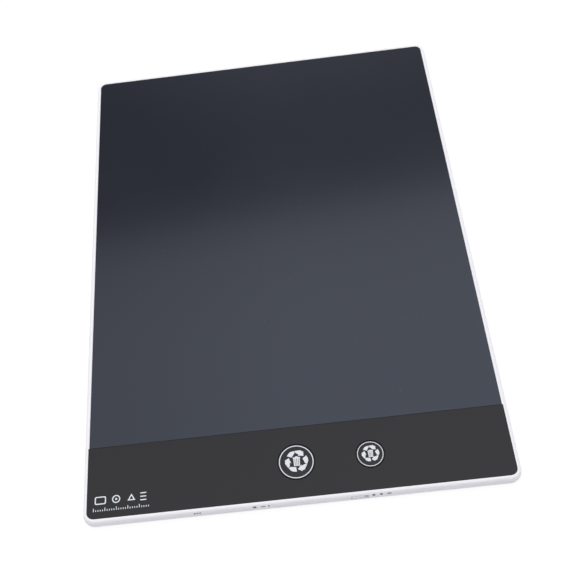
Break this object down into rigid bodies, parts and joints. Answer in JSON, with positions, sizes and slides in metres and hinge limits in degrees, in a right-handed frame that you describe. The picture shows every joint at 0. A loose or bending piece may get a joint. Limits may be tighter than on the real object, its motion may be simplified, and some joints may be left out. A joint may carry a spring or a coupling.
{
  "type": "lcd writing tablet",
  "caption": "Thin portrait LCD writing tablet with a white rim, a black control strip, round erase buttons, a lock slider and a screwed battery door.",
  "frame": {"origin": "middle of the flat back face", "axes": "+X across the tablet to the right, +Y from the control strip to the top edge, +Z out of the writing surface"},
  "size_m": [0.195, 0.2726, 0.005],
  "materials": {
    "housing": "white moulded ABS, satin",
    "writing_film": "dark blue-grey liquid crystal film, soft gloss",
    "backing_film": "matt black film",
    "tape": "double-sided tissue tape",
    "control_strip": "back-printed black acrylic, satin",
    "board": "glass-epoxy laminate with green resist",
    "black_plastic": "black moulded nylon",
    "ceramic": "fired ceramic with plated ends",
    "polyimide": "amber polyimide film",
    "nickel": "nickel-plated steel",
    "contact_metal": "stamped phosphor bronze",
    "screw_metal": "zinc-plated steel"
  },
  "bodies": {
    "housing": {"rear_cover": "housing", "front_frame": "housing", "lcd_film": "writing_film", "black_backing": "backing_film", "film_tape": "tape", "control_panel": "control_strip", "panel_tape": "tape", "circuit_board": "board", "driver_chip": "black_plastic", "boost_coil": "black_plastic", "capacitor_1": "ceramic", "capacitor_2": "ceramic", "tail_connector": "black_plastic", "film_tail": "polyimide", "coin_cell": "nickel", "lid_contact": "contact_metal", "can_contact": "contact_metal", "large_switch_case": "black_plastic", "small_switch_case": "black_plastic", "lock_switch_case": "black_plastic"},
    "large_button": {"large_button_cap": "control_strip", "large_switch_plunger": "black_plastic"},
    "small_button": {"small_button_cap": "control_strip", "small_switch_plunger": "black_plastic"},
    "lock": {"lock_slider": "housing", "lock_actuator": "black_plastic"},
    "door": {"battery_door": "housing"},
    "screw": {"door_screw": "screw_metal"}
  },
  "joints": [
    {"name": "large_button_press", "type": "slide", "parent": "housing", "child": "large_button", "axis": [0, 0, -1], "range_m": [0, 0.0004], "stiffness_N_per_m": 2500},
    {"name": "small_button_press", "type": "slide", "parent": "housing", "child": "small_button", "axis": [0, 0, -1], "range_m": [0, 0.0004], "stiffness_N_per_m": 2500},
    {"name": "lock_slide", "type": "slide", "parent": "housing", "child": "lock", "axis": [1, 0, 0], "range_m": [0, 0.0018]},
    {"name": "door_swing", "type": "hinge", "parent": "housing", "child": "door", "pos_m": [-0.045, -0.1317, 0.0001], "axis": [-1, 0, 0], "range_deg": [0, 60]},
    {"name": "screw_turn", "type": "hinge", "parent": "door", "child": "screw", "pos_m": [-0.045, -0.1047, 0.0001], "axis": [0, 0, -1], "continuous": true}
  ]
}
